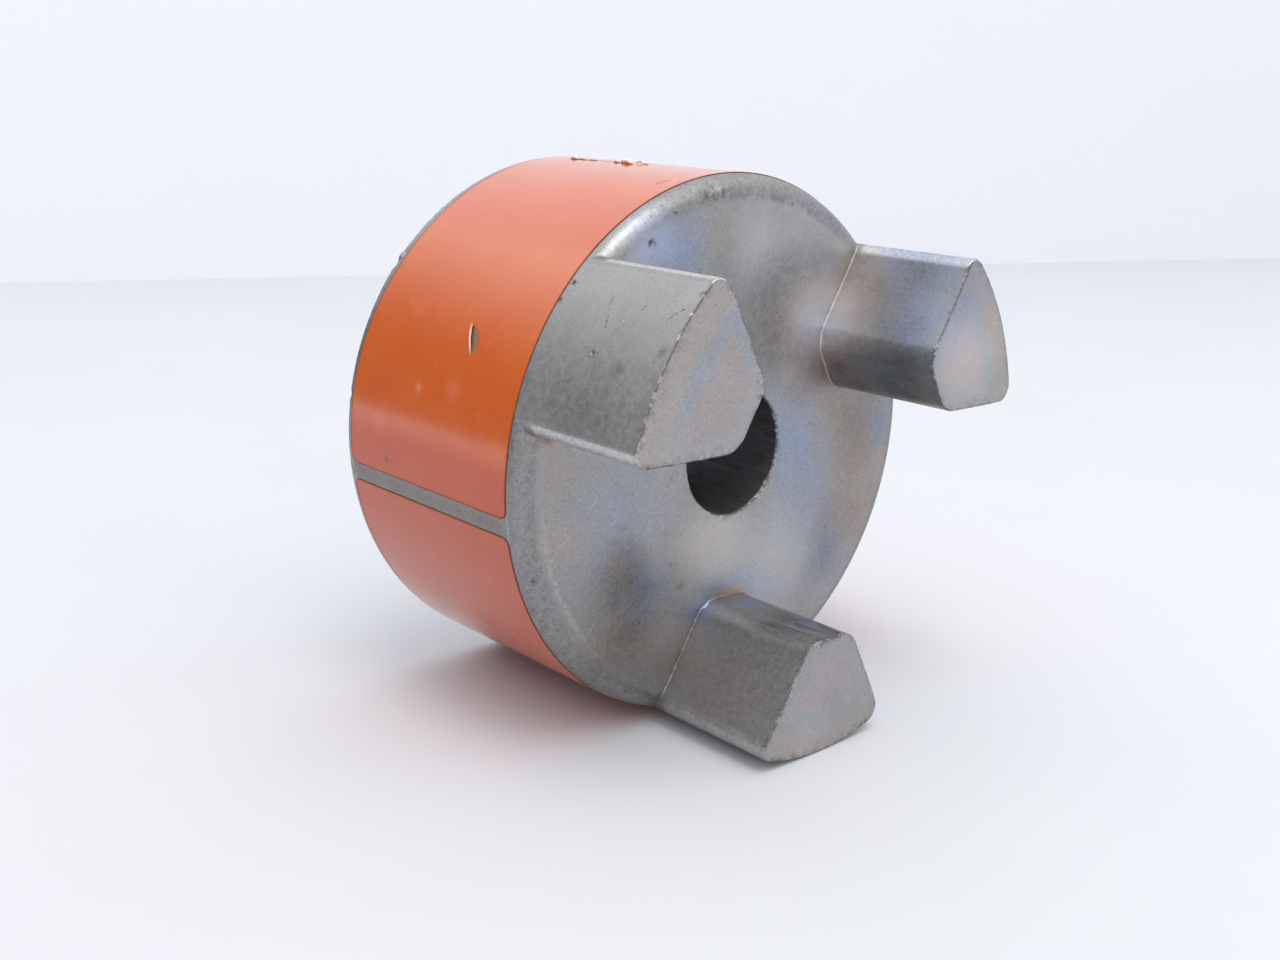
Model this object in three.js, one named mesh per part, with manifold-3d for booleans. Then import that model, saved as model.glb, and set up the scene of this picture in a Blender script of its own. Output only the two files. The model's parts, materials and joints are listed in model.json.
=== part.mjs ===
// One hub of a three-jaw shaft coupling: a sintered iron body with jaws, bore and keyway,
// a printed vinyl wrap around its rim, and the set screw that locks it to the shaft.
//
// Millimetres. The bore runs along Y and the jaws point to -Y. The origin is on the bore
// axis, half-way along the overall length. One jaw hangs straight down, and angles are
// measured in the XZ plane, from +X towards +Z.

import * as THREE from "three";
import { mergeVertices } from "three/addons/utils/BufferGeometryUtils.js";
import Module from "manifold-3d";

const wasm = await Module();
wasm.setup();

// Body
const OUTER_RADIUS = 42.15;
const BODY_LENGTH = 43.2;
const JAW_LENGTH = 22;
const RIM_ROUND = 3.3;
const REAR_CHAMFER = 0.6;
const RIM_STEPS = 96;
const ROUND_STEPS = 6;

// Bore and keyway
const BORE_RADIUS = 10;
const BORE_EDGE_BREAK = 0.3;
const KEYWAY_WIDTH = 6;
const KEYWAY_DEPTH = 2.8;

// Jaws. A spider leg fills the slot between two neighbouring jaws of a closed coupling, so
// each flank runs parallel to the leg's centre line, half a leg away from it.
const JAW_ANGLES = [30, 150, 270];
const LEG_OFFSET_ANGLE = 30;
const LEG_HALF_WIDTH = 7.65;
const JAW_TIP_RADIUS = 23.7;
const JAW_TIP_CORNER = 2;
const JAW_OUTER_CORNER = 2.6;
const JAW_ROOT_DEPTH = RIM_ROUND + 2;

// Set screw and its hole, on a radius of the bore
const SCREW_ANGLE = 154.5;
const SCREW_BEHIND_FACE = 16.2;
const SCREW_RADIUS = 4.76;
const SCREW_LENGTH = 12.7;
const SCREW_POINT_RADIUS = 13.3;
const SCREW_CLEARANCE = 0.09;
const SCREW_STEPS = 36;
const SCREW_CHAMFER = 0.9;
const CUP_RADIUS = 2.2;
const CUP_DEPTH = 1;
const SOCKET_ACROSS_FLATS = 4.76;
const SOCKET_DEPTH = 5.5;

// Vinyl wrap
const WRAP_GAP_TO_BODY = 0.03;
const WRAP_THICKNESS = 0.12;
const WRAP_BEHIND_FACE = 2.8;
const WRAP_BEFORE_REAR = 1.1;
const SEAM_FROM = 186.3;
const SEAM_TO = 190;
const SLIT_LENGTH = 4.7;
const SLIT_WIDTH = 1.4;
const SLIT_LEAN = 27.5;

const REAR_Y = (BODY_LENGTH + JAW_LENGTH) / 2;
const FACE_Y = REAR_Y - BODY_LENGTH;
const CUT_MARGIN = 1;

const ALONG_BORE = new THREE.Vector3(0, 1, 0);
const radians = THREE.MathUtils.degToRad;

// A closed geometry as a manifold solid, moved by a matrix
function solid(geometry, matrix = new THREE.Matrix4()) {
  const bare = geometry.clone().applyMatrix4(matrix);
  bare.deleteAttribute("normal");
  bare.deleteAttribute("uv");
  const merged = mergeVertices(bare);
  return new wasm.Manifold(new wasm.Mesh({
    numProp: 3,
    vertProperties: merged.attributes.position.array,
    triVerts: Uint32Array.from(merged.index.array),
  }));
}

function geometryOf(manifold) {
  const mesh = manifold.getMesh();
  const geometry = new THREE.BufferGeometry();
  geometry.setAttribute("position", new THREE.BufferAttribute(mesh.vertProperties, 3));
  geometry.setIndex(new THREE.BufferAttribute(mesh.triVerts, 1));
  return geometry;
}

function polar(radius, angle) {
  return new THREE.Vector2(radius * Math.cos(radians(angle)), radius * Math.sin(radians(angle)));
}

// Points on an arc, ends included
function arc(x, y, radius, from, to, steps = ROUND_STEPS) {
  const centre = new THREE.Vector2(x, y);
  const points = [];
  for (let i = 0; i <= steps; i += 1) {
    points.push(polar(radius, from + ((to - from) * i) / steps).add(centre));
  }
  return points;
}

// A shape drawn in XZ (x to X, y to Z), extruded from y = start towards -Y
function extrudeForward(outline, start, depth, angle = 0) {
  const geometry = new THREE.ExtrudeGeometry(new THREE.Shape(outline), { depth, bevelEnabled: false });
  return geometry.rotateX(Math.PI / 2).rotateY(-radians(angle)).translate(0, start, 0);
}

// A ring around Y from a closed profile of (radius, y) points
function ring(profile, steps) {
  return new THREE.LatheGeometry([...profile, profile[0]], steps);
}

function bodyBlank() {
  const edge = BORE_RADIUS + BORE_EDGE_BREAK;
  return ring([
    new THREE.Vector2(BORE_RADIUS, REAR_Y - BORE_EDGE_BREAK),
    new THREE.Vector2(BORE_RADIUS, FACE_Y + BORE_EDGE_BREAK),
    new THREE.Vector2(edge, FACE_Y),
    ...arc(OUTER_RADIUS - RIM_ROUND, FACE_Y + RIM_ROUND, RIM_ROUND, -90, 0),
    new THREE.Vector2(OUTER_RADIUS, REAR_Y - REAR_CHAMFER),
    new THREE.Vector2(OUTER_RADIUS - REAR_CHAMFER, REAR_Y),
    new THREE.Vector2(edge, REAR_Y),
  ], RIM_STEPS);
}

// Half of a jaw's outline, from the middle of its tip round to the middle of its outer arc,
// for a jaw centred on +X. The outer arc has its corners where the body blank has them.
function jawHalfOutline() {
  const slope = radians(LEG_OFFSET_ANGLE);
  const flankDirection = 90 + LEG_OFFSET_ANGLE;
  const tipX = JAW_TIP_RADIUS + JAW_TIP_CORNER;
  const tipY = (tipX * Math.sin(slope) - LEG_HALF_WIDTH - JAW_TIP_CORNER) / Math.cos(slope);
  const cornerReach = OUTER_RADIUS - JAW_OUTER_CORNER;
  const cornerInset = Math.asin((LEG_HALF_WIDTH + JAW_OUTER_CORNER) / cornerReach);
  const cornerAngle = LEG_OFFSET_ANGLE - THREE.MathUtils.radToDeg(cornerInset);
  const corner = polar(cornerReach, cornerAngle);
  const rimStep = 360 / RIM_STEPS;
  const rimSteps = Math.ceil(cornerAngle / rimStep) - 1;
  return [
    ...arc(tipX, tipY, JAW_TIP_CORNER, 180, flankDirection),
    ...arc(corner.x, corner.y, JAW_OUTER_CORNER, flankDirection, cornerAngle),
    ...arc(0, 0, OUTER_RADIUS, rimSteps * rimStep, 0, rimSteps),
  ];
}

function jaw(angle) {
  const upper = jawHalfOutline();
  const lower = upper.slice(0, -1).reverse().map((point) => new THREE.Vector2(point.x, -point.y));
  return extrudeForward([...upper, ...lower], FACE_Y + JAW_ROOT_DEPTH,
    JAW_LENGTH + JAW_ROOT_DEPTH, angle);
}

// A slot the length of the bore, from the bore axis out to the keyway's floor
function keyway() {
  const half = KEYWAY_WIDTH / 2;
  const floor = BORE_RADIUS + KEYWAY_DEPTH;
  const outline = [[0, -half], [floor, -half], [floor, half], [0, half]]
    .map(([x, y]) => new THREE.Vector2(x, y));
  return extrudeForward(outline, REAR_Y + CUT_MARGIN, BODY_LENGTH + 2 * CUT_MARGIN, SCREW_ANGLE);
}

// Places a piece built around Y, with y = 0 at the set screw's point, in the screw hole. Its X
// then runs round the rim and its Z along the bore.
function screwMatrix() {
  const outward = new THREE.Vector3(Math.cos(radians(SCREW_ANGLE)), 0, Math.sin(radians(SCREW_ANGLE)));
  const roundRim = outward.clone().cross(ALONG_BORE);
  const place = outward.clone().multiplyScalar(SCREW_POINT_RADIUS);
  place.y = FACE_Y + SCREW_BEHIND_FACE;
  return new THREE.Matrix4().makeBasis(roundRim, outward, ALONG_BORE).setPosition(place);
}

// A plug along the screw's axis, from the bore out past the rim
function screwHole() {
  const from = -SCREW_POINT_RADIUS + BORE_RADIUS / 2;
  const length = OUTER_RADIUS + CUT_MARGIN - BORE_RADIUS / 2;
  const radius = SCREW_RADIUS + SCREW_CLEARANCE;
  return new THREE.CylinderGeometry(radius, radius, length, SCREW_STEPS)
    .translate(0, from + length / 2, 0);
}

function hubGeometry() {
  let hub = solid(bodyBlank());
  for (const angle of JAW_ANGLES) {
    hub = hub.add(solid(jaw(angle)));
  }
  hub = hub.subtract(solid(keyway()));
  hub = hub.subtract(solid(screwHole(), screwMatrix()));
  return geometryOf(hub);
}

// Cup-pointed grub screw with a hexagon socket, standing on its point at y = 0
function setScrewGeometry() {
  const blank = ring([
    new THREE.Vector2(0, CUP_DEPTH),
    new THREE.Vector2(CUP_RADIUS, 0),
    new THREE.Vector2(SCREW_RADIUS - SCREW_CHAMFER, 0),
    new THREE.Vector2(SCREW_RADIUS, SCREW_CHAMFER),
    new THREE.Vector2(SCREW_RADIUS, SCREW_LENGTH - SCREW_CHAMFER),
    new THREE.Vector2(SCREW_RADIUS - SCREW_CHAMFER, SCREW_LENGTH),
    new THREE.Vector2(0, SCREW_LENGTH),
  ], SCREW_STEPS);
  const socketRadius = SOCKET_ACROSS_FLATS / Math.sqrt(3);
  const socketLength = SOCKET_DEPTH + CUT_MARGIN;
  const socket = new THREE.CylinderGeometry(socketRadius, socketRadius, socketLength, 6)
    .translate(0, SCREW_LENGTH - SOCKET_DEPTH + socketLength / 2, 0);
  return geometryOf(solid(blank).subtract(solid(socket)));
}

// The wrap lies flat on the rim's facets, with its seam open
function wrapBlank() {
  const inner = OUTER_RADIUS + WRAP_GAP_TO_BODY;
  const outer = inner + WRAP_THICKNESS;
  const step = 360 / RIM_STEPS;
  const angles = [SEAM_TO];
  for (let i = Math.floor(SEAM_TO / step) + 1; i * step < SEAM_FROM + 360; i += 1) {
    angles.push(i * step);
  }
  angles.push(SEAM_FROM + 360);
  const along = (radius) => angles.map((angle) => polar(radius, angle));
  const outline = [...along(outer), ...along(inner).reverse()];
  const width = BODY_LENGTH - WRAP_BEHIND_FACE - WRAP_BEFORE_REAR;
  return extrudeForward(outline, REAR_Y - WRAP_BEFORE_REAR, width);
}

// A pointed cut in the wrap over the screw hole, leaning from round the rim towards the bore's
// direction
function slit() {
  const halfLength = SLIT_LENGTH / 2;
  const bow = SLIT_WIDTH / 2;
  const radius = (halfLength ** 2 + bow ** 2) / (2 * bow);
  const reach = THREE.MathUtils.radToDeg(Math.asin(halfLength / radius));
  const side = arc(0, bow - radius, radius, 90 + reach, 90 - reach);
  const otherSide = side.slice(1, -1).map((point) => new THREE.Vector2(-point.x, -point.y));
  const geometry = new THREE.ExtrudeGeometry(new THREE.Shape([...side, ...otherSide]),
    { depth: 2 * CUT_MARGIN, bevelEnabled: false });
  return geometry.rotateX(-Math.PI / 2).rotateY(radians(SLIT_LEAN))
    .translate(0, OUTER_RADIUS - SCREW_POINT_RADIUS - CUT_MARGIN, 0);
}

function wrapGeometry() {
  return geometryOf(solid(wrapBlank()).subtract(solid(slit(), screwMatrix())));
}

function part(name, geometry, colour, roughness, metalness) {
  const material = new THREE.MeshStandardMaterial({ color: colour, roughness, metalness });
  const mesh = new THREE.Mesh(geometry, material);
  mesh.name = name;
  return mesh;
}

const group = new THREE.Group();

group.add(part("hub", hubGeometry(), 0x77787a, 0.5, 0.85));
group.add(part("label_wrap", wrapGeometry(), 0xd2601f, 0.3, 0));

const setScrew = part("set_screw", setScrewGeometry(), 0x2c2a29, 0.45, 0.8);
setScrew.applyMatrix4(screwMatrix());
group.add(setScrew);

export default group;
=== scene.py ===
"""A jaw coupling hub of sintered iron with an orange vinyl wrap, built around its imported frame."""
import json
import math
import random

import bmesh
import bpy
import numpy as np
from mathutils import Matrix, Quaternion, Vector


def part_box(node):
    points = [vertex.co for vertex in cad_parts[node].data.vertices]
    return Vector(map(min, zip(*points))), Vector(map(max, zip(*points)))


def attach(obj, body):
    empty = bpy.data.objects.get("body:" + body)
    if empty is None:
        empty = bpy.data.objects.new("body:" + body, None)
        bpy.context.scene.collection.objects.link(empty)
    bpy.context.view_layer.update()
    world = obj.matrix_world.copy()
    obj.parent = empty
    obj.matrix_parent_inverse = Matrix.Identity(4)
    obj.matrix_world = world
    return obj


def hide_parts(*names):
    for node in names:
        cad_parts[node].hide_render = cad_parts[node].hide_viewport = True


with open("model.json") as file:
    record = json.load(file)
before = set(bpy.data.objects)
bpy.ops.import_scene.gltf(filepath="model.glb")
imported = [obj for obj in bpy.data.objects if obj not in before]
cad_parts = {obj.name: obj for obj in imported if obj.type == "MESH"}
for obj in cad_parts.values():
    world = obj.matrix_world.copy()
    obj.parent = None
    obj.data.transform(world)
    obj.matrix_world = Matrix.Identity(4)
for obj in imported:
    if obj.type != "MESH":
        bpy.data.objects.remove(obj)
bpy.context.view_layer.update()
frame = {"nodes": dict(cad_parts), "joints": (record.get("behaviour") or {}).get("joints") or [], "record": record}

MM = 0.001

# ------------------------------ places read from the frame

HUB_LOW, HUB_HIGH = (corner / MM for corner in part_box("hub"))
WRAP_LOW, WRAP_HIGH = (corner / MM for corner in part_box("label_wrap"))
MOUNTS = {mount["name"]: mount for mount in frame["record"]["mounts"]}
SCREW_JOINT = frame["joints"][0]

OUTER_RADIUS = HUB_HIGH.z
REAR_Y = HUB_HIGH.y
END_Y = HUB_LOW.y
FACE_Y = MOUNTS["spider_seat"]["pos_m"][1] / MM
SCREW_ANGLE = math.atan2(SCREW_JOINT["axis"][2], SCREW_JOINT["axis"][0])
SCREW_LOW, SCREW_HIGH = (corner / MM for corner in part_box("set_screw"))
SCREW_Y = (SCREW_LOW.y + SCREW_HIGH.y) / 2
SCREW_RADIUS = (SCREW_HIGH.y - SCREW_LOW.y) / 2

# ------------------------------ the hub's own sizes, in mm

BORE_RADIUS = 10.0
BORE_EDGE = 0.3
KEYWAY_HALF_WIDTH = 3.0
KEYWAY_FLOOR = 12.8
RIM_ROUND = 3.3
REAR_EDGE = 0.45
SIXTH = math.radians(30)
LEG_HALF_WIDTH = 7.65
JAW_TIP_RADIUS = 23.7
JAW_TIP_CORNER = 2.0
JAW_OUTER_CORNER = 2.6
JAW_END_EDGE = 0.14
JAW_DEPTH_IN_BODY = 6.0
ROOT_FILLET = 0.3
LUMP_FILLET = 0.4
CUT_EDGE = 0.15
PIT_EDGE = 0.12
SCREW_HOLE_RADIUS = 4.85
# The outer part of a jaw's end falls away beyond a ridge, an arc about a point near the axis.
RIDGE_CENTRE = 9.0
RIDGE_RADIUS = 28.0
RIDGE_FALL = 0.06
RIDGE_SOFTENING = 0.04
# A shallow dip runs round the front face just inside the rim.
DIP_RADIUS = 38.6
DIP_WIDTH = 0.9
DIP_DEPTH = 0.07

VOXEL = 0.3
HUB_TRIANGLES = 190_000
# How the field is read: which points feel a pit or a lump, the steps for its slope, the longest
# move onto the surface, how its bend is felt, and how far from a jaw's outline and ridge the
# distance is kept.
BALL_MARGIN = 3.0
SLOPE_STEP = 0.02
NORMAL_STEP = 0.03
LEAST_STEEPNESS = 0.05
LONGEST_MOVE = 0.5
BEND_PROBE = 0.35
BEND_GAIN = 1.2
OUTLINE_REACH = 8
TINY = 1e-9
# A direction that is not square to any flat face, to cross the surface's directions with.
ASKEW = np.array([0.3, 0.5, 0.81])
SHARP_ANGLE = math.radians(50)


def degrees_point(angle, radius, y):
    """A point at an angle in degrees from +X towards +Z, a radius and a height along the bore."""
    turn = math.radians(angle)
    return np.array([radius * math.cos(turn), y, radius * math.sin(turn)])


# Pits, nicks and chips: (place, radius). Each is a ball taken out of the surface.
FACE_PITS = [
    (degrees_point(120.7, 38.0, FACE_Y - 0.25), 0.62),
    (degrees_point(112.0, 39.6, FACE_Y), 0.25),
    (degrees_point(184.0, 40.6, FACE_Y), 0.35),
    (degrees_point(188.0, 40.7, FACE_Y + 0.1), 0.35),
    (degrees_point(199.4, 41.0, FACE_Y + 0.6), 0.35),
]
EDGE_NICKS = [
    (degrees_point(142.6, OUTER_RADIUS + 0.4, REAR_Y + 0.3), 1.0),
    (degrees_point(172.0, OUTER_RADIUS + 0.5, REAR_Y + 0.2), 0.9),
    (degrees_point(151.6, OUTER_RADIUS + 0.15, FACE_Y - 8.3), 0.35),
    (degrees_point(27.0, BORE_RADIUS + 0.1, FACE_Y - 0.1), 0.4),
    (degrees_point(12.0, BORE_RADIUS, FACE_Y - 0.1), 0.35),
    (degrees_point(-37.0, BORE_RADIUS, FACE_Y - 0.1), 0.45),
    (degrees_point(-96.0, BORE_RADIUS, FACE_Y - 0.1), 0.3),
]
# Small lumps left on the rim and the rear edge: (place, radius)
RIM_LUMPS = [
    (degrees_point(98.5, 39.9, FACE_Y + 0.7), 0.8),
    (degrees_point(100.8, 39.6, FACE_Y + 0.55), 0.5),
]
LUMPS = RIM_LUMPS + [(degrees_point(140.4, OUTER_RADIUS - 0.25, REAR_Y - 0.5), 0.55)]
LOOSE_PIT_COUNT = 60
LOOSE_PIT_SEED = 11
LOOSE_PIT_RADII = (0.2, 0.3)
LOOSE_PIT_FACE_SHARE = 0.3
LOOSE_PIT_FACE_SPAN = (12, 38)
LOOSE_PIT_LAST_TURN = math.radians(80)
# How much of a pit's radius its centre lies under the face, and outside the rim's round.
PIT_UNDER_FACE = 0.7
PIT_OUT_OF_RIM = 0.65


# ------------------------------ the hub as a distance field

def round_intersection(a, b, radius):
    corner = np.hypot(np.maximum(a + radius, 0), np.maximum(b + radius, 0))
    return np.minimum(-radius, np.maximum(a, b)) + corner


def round_union(a, b, radius):
    corner = np.hypot(np.maximum(radius - a, 0), np.maximum(radius - b, 0))
    return np.maximum(radius, np.minimum(a, b)) - corner


def body_distance(r, y):
    dip = DIP_DEPTH * np.exp(-((r - DIP_RADIUS) / DIP_WIDTH) ** 2)
    side = r - OUTER_RADIUS
    shell = round_intersection(side, FACE_Y + dip - y, RIM_ROUND)
    return round_intersection(shell, y - REAR_Y, REAR_EDGE)


def jaw_section(x, z, r):
    """How far outside the nearest jaw's outline a point lies, and how far beyond its ridge.

    The point is turned into the first jaw's sector.
    """
    sector = 2 * math.pi / 3
    turn = np.arctan2(z, x) - SIXTH
    turn = np.mod(turn + sector / 2, sector) - sector / 2
    along = r * np.cos(turn)
    across = np.abs(r * np.sin(turn))
    flank = across * math.cos(SIXTH) - along * math.sin(SIXTH) + LEG_HALF_WIDTH
    section = round_intersection(flank, JAW_TIP_RADIUS - along, JAW_TIP_CORNER)
    section = round_intersection(section, r - OUTER_RADIUS, JAW_OUTER_CORNER)
    return section, np.hypot(along - RIDGE_CENTRE, across) - RIDGE_RADIUS


def jaw_distance(x, y, z, r):
    section, past_ridge = jaw_section(x, z, r)
    fall = RIDGE_FALL * (past_ridge + np.sqrt(past_ridge ** 2 + RIDGE_SOFTENING)) / 2
    jaw = round_intersection(section, END_Y + fall - y, JAW_END_EDGE)
    return np.maximum(jaw, y - FACE_Y - JAW_DEPTH_IN_BODY)


def hub_distance(points, near_pits, near_lumps):
    x, y, z = points.T
    r = np.hypot(x, z)
    solid = round_union(body_distance(r, y), jaw_distance(x, y, z, r), ROOT_FILLET)
    solid = np.maximum(solid, r - OUTER_RADIUS)
    for near, centre, radius in near_lumps:
        lump = np.linalg.norm(points[near] - centre, axis=1) - radius
        solid[near] = round_union(solid[near], lump, LUMP_FILLET)
    solid = round_intersection(solid, BORE_RADIUS - r, BORE_EDGE)
    outward = x * math.cos(SCREW_ANGLE) + z * math.sin(SCREW_ANGLE)
    sideways = z * math.cos(SCREW_ANGLE) - x * math.sin(SCREW_ANGLE)
    keyway = np.maximum(np.abs(sideways) - KEYWAY_HALF_WIDTH, outward - KEYWAY_FLOOR)
    keyway = np.maximum(keyway, -outward)
    solid = round_intersection(solid, -keyway, CUT_EDGE)
    screw_hole = np.maximum(np.hypot(sideways, y - SCREW_Y) - SCREW_HOLE_RADIUS, -outward)
    solid = round_intersection(solid, -screw_hole, CUT_EDGE)
    for near, centre, radius in near_pits:
        pit = radius - np.linalg.norm(points[near] - centre, axis=1)
        solid[near] = round_intersection(solid[near], pit, PIT_EDGE)
    return solid


def loose_pits():
    """Small shallow pits scattered round the rim, a few of them on the front face."""
    draw = random.Random(LOOSE_PIT_SEED)
    pits = []
    for _ in range(LOOSE_PIT_COUNT):
        radius = draw.uniform(*LOOSE_PIT_RADII)
        if draw.random() < LOOSE_PIT_FACE_SHARE:
            angle, place_radius = draw.uniform(0, 360), draw.uniform(*LOOSE_PIT_FACE_SPAN)
            pits.append((degrees_point(angle, place_radius, FACE_Y - radius * PIT_UNDER_FACE), radius))
        else:
            turn = draw.uniform(0, LOOSE_PIT_LAST_TURN)
            round_radius = RIM_ROUND + radius * PIT_OUT_OF_RIM
            rim_radius = OUTER_RADIUS - RIM_ROUND + round_radius * math.sin(turn)
            y = FACE_Y + RIM_ROUND - round_radius * math.cos(turn)
            pits.append((degrees_point(draw.uniform(0, 360), rim_radius, y), radius))
    return pits


def points_near(points, balls):
    """For each ball, which points lie near enough to feel it."""
    found = []
    for centre, radius in balls:
        away = np.linalg.norm(points - centre, axis=1)
        found.append((np.flatnonzero(away < radius + BALL_MARGIN), centre, radius))
    return found


def gradient(distance, points, step):
    slopes = []
    for axis in range(3):
        shift = np.zeros(3)
        shift[axis] = step
        slopes.append((distance(points + shift) - distance(points - shift)) / (2 * step))
    return np.stack(slopes, axis=1)


def settle_on_surface(points, distance, rounds):
    """Moves points along the field's slope until they lie on its surface."""
    for _ in range(rounds):
        slope = gradient(distance, points, SLOPE_STEP)
        steepness = np.maximum((slope ** 2).sum(axis=1), LEAST_STEEPNESS)
        move = slope * (distance(points) / steepness)[:, None]
        length = np.maximum(np.linalg.norm(move, axis=1), TINY)
        points = points - move * np.minimum(1, LONGEST_MOVE / length)[:, None]
    return points


# ------------------------------ mesh helpers

def link(mesh, name):
    piece = bpy.data.objects.new(name, mesh)
    bpy.context.scene.collection.objects.link(piece)
    return piece


def apply_modifiers(piece):
    graph = bpy.context.evaluated_depsgraph_get()
    made = bpy.data.meshes.new_from_object(piece.evaluated_get(graph))
    piece.modifiers.clear()
    piece.data = made


def read_points(mesh):
    flat = np.empty(len(mesh.vertices) * 3, np.float32)
    mesh.vertices.foreach_get("co", flat)
    return flat.reshape(-1, 3).astype(float) / MM


def write_points(mesh, points):
    mesh.vertices.foreach_set("co", (points * MM).astype(np.float32).ravel())
    mesh.update()


def store(mesh, name, values):
    attribute = mesh.attributes.new(name, "FLOAT", "POINT")
    attribute.data.foreach_set("value", np.asarray(values, np.float32))


def build_hub():
    piece = link(frame["nodes"]["hub"].data.copy(), "hub_body")
    piece.data.materials.clear()
    remesh = piece.modifiers.new("remesh", "REMESH")
    remesh.mode = "VOXEL"
    remesh.voxel_size = VOXEL * MM * 1
    apply_modifiers(piece)

    pits = FACE_PITS + EDGE_NICKS + loose_pits()

    def field(points):
        near_pits = points_near(points, pits)
        near_lumps = points_near(points, LUMPS)
        return lambda moved: hub_distance(moved, near_pits, near_lumps)

    points = read_points(piece.data)
    write_points(piece.data, settle_on_surface(points, field(points), rounds=3))

    triangles = 2 * len(piece.data.polygons)
    thin = piece.modifiers.new("thin", "DECIMATE")
    thin.ratio = min(1.0, HUB_TRIANGLES / triangles)
    apply_modifiers(piece)

    points = read_points(piece.data)
    distance = field(points)
    points = settle_on_surface(points, distance, rounds=2)
    write_points(piece.data, points)
    normals = gradient(distance, points, NORMAL_STEP)
    normals /= np.maximum(np.linalg.norm(normals, axis=1), TINY)[:, None]
    bend = surface_bend(distance, points, normals)
    store(piece.data, "convex", np.clip(bend, 0, 1))
    store(piece.data, "hollow", np.clip(-bend, 0, 1))
    x, _, z = points.T
    section, past_ridge = jaw_section(x, z, np.hypot(x, z))
    store(piece.data, "inset", np.clip(-section, 0, OUTLINE_REACH))
    store(piece.data, "past_ridge", np.clip(past_ridge, -OUTLINE_REACH, OUTLINE_REACH))
    piece.data.shade_smooth()
    piece.data.normals_split_custom_set_from_vertices(normals)
    return piece


def surface_bend(distance, points, normals):
    """How much the surface bends at each point: above 0 on an outside edge, below 0 in a corner."""
    across = np.cross(normals, ASKEW)
    across /= np.maximum(np.linalg.norm(across, axis=1), TINY)[:, None]
    other = np.cross(normals, across)
    total = np.zeros(len(points))
    for direction in (across, -across, other, -other):
        total += distance(points + direction * BEND_PROBE)
    return total / BEND_PROBE * BEND_GAIN


# ------------------------------ the vinyl wrap

WRAP_LIFT = 0.012
WRAP_THICKNESS = 0.085
SEAM_AFTER = 190.0
SEAM_BEFORE = 186.3 + 360
# The seam's middle, as an angle between -180 and 180.
SEAM_TURN = -171.9
WRAP_CORNER = 1.3
# Its mesh: steps round the rim and along the bore, with finer ones near the slit and the seam.
ARC_STEP, ARC_FINE_HALF, ARC_FINE_STEP = 0.75, 3.6, 0.12
ROW_STEP, ROW_FINE_HALF, ROW_FINE_STEP = 0.7, 2.0, 0.1
SEAM_STEPS = np.array([0.0, 0.1, 0.25, 0.5, 0.8, 1.1])
# The film's rear edge runs a little short of the others round here.
SHORT_ANGLE = 132.0
SHORT_REACH = 24.0
SHORT_BY = 0.7
SLIT_ANGLE = math.degrees(SCREW_ANGLE)
SLIT_HALF_LENGTH = 2.1
SLIT_SLOPE = 0.52
SLIT_FLAP_WIDTH = 1.6
SLIT_FLAP_DEPTH = 0.32
SLIT_LEAST_OPENING = 0.05
SLIT_LIP_HEIGHT = 0.34
SLIT_LIP_PLACE = 0.28
SLIT_LIP_WIDTH = 0.34
# How far the film slides open behind and before the slit: (distance, how far that carries).
OPENS_BEHIND = (0.4, 0.9)
OPENS_BEFORE = (0.8, 0.7)
# Where the slit's lean fades out, round the rim and along the bore: (end, over what distance).
LEAN_ROUND = (5.0, 2.5)
LEAN_ALONG = (3.4, 3.0)


def stops(low, high, step, fine_at, fine_half, fine_step):
    """Even steps from low to high, with finer ones around one place."""
    coarse = np.linspace(low, high, round((high - low) / step) + 1)
    coarse = coarse[np.abs(coarse - fine_at) > fine_half]
    count = 2 * round(fine_half / fine_step) + 1
    fine = np.linspace(fine_at - fine_half, fine_at + fine_half, count)
    return np.sort(np.concatenate([coarse, fine]))


def sheet_point(arc_mm, y, height):
    """A point of the wrap: arc length round the rim from +X, height off the rim."""
    turn = arc_mm / OUTER_RADIUS
    radius = OUTER_RADIUS + WRAP_LIFT + height
    return (radius * math.cos(turn) * MM, y * MM, radius * math.sin(turn) * MM)


def corner_trim(from_end):
    """How far a rounded corner cuts into the wrap's width, at a distance from the seam."""
    if from_end >= WRAP_CORNER:
        return 0.0
    return WRAP_CORNER - math.sqrt(WRAP_CORNER ** 2 - (WRAP_CORNER - from_end) ** 2)


def smooth(share):
    """0 at and below 0, 1 at and above 1, smooth between."""
    share = min(1.0, max(0.0, share))
    return share * share * (3 - 2 * share)


def fade(distance, end, over):
    return smooth((end - distance) / over)


def slit_shape(along, beyond, side):
    """How the film lies at a place by the slit: (move along y, height, flap, lip).

    The film before the slit is pushed down into the screw's hole as a dirty flap, and the film
    behind it is pushed up into a rolled lip.
    """
    opening = math.sqrt(max(0.0, 1 - (along / SLIT_HALF_LENGTH) ** 2))
    lean = -SLIT_SLOPE * along * fade(abs(along), *LEAN_ROUND) * fade(beyond, *LEAN_ALONG)
    slide, carry = OPENS_BEHIND if side > 0 else OPENS_BEFORE
    move = lean + slide * opening * math.exp(-beyond / carry)
    if side > 0:
        lip = opening * math.exp(-((beyond - SLIT_LIP_PLACE) / SLIT_LIP_WIDTH) ** 2)
        return move, SLIT_LIP_HEIGHT * lip, 0.0, lip
    flap = opening * max(0.0, 1 - beyond / (SLIT_FLAP_WIDTH * max(opening, SLIT_LEAST_OPENING)))
    return move, -SLIT_FLAP_DEPTH * flap, flap, 0.0


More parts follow.
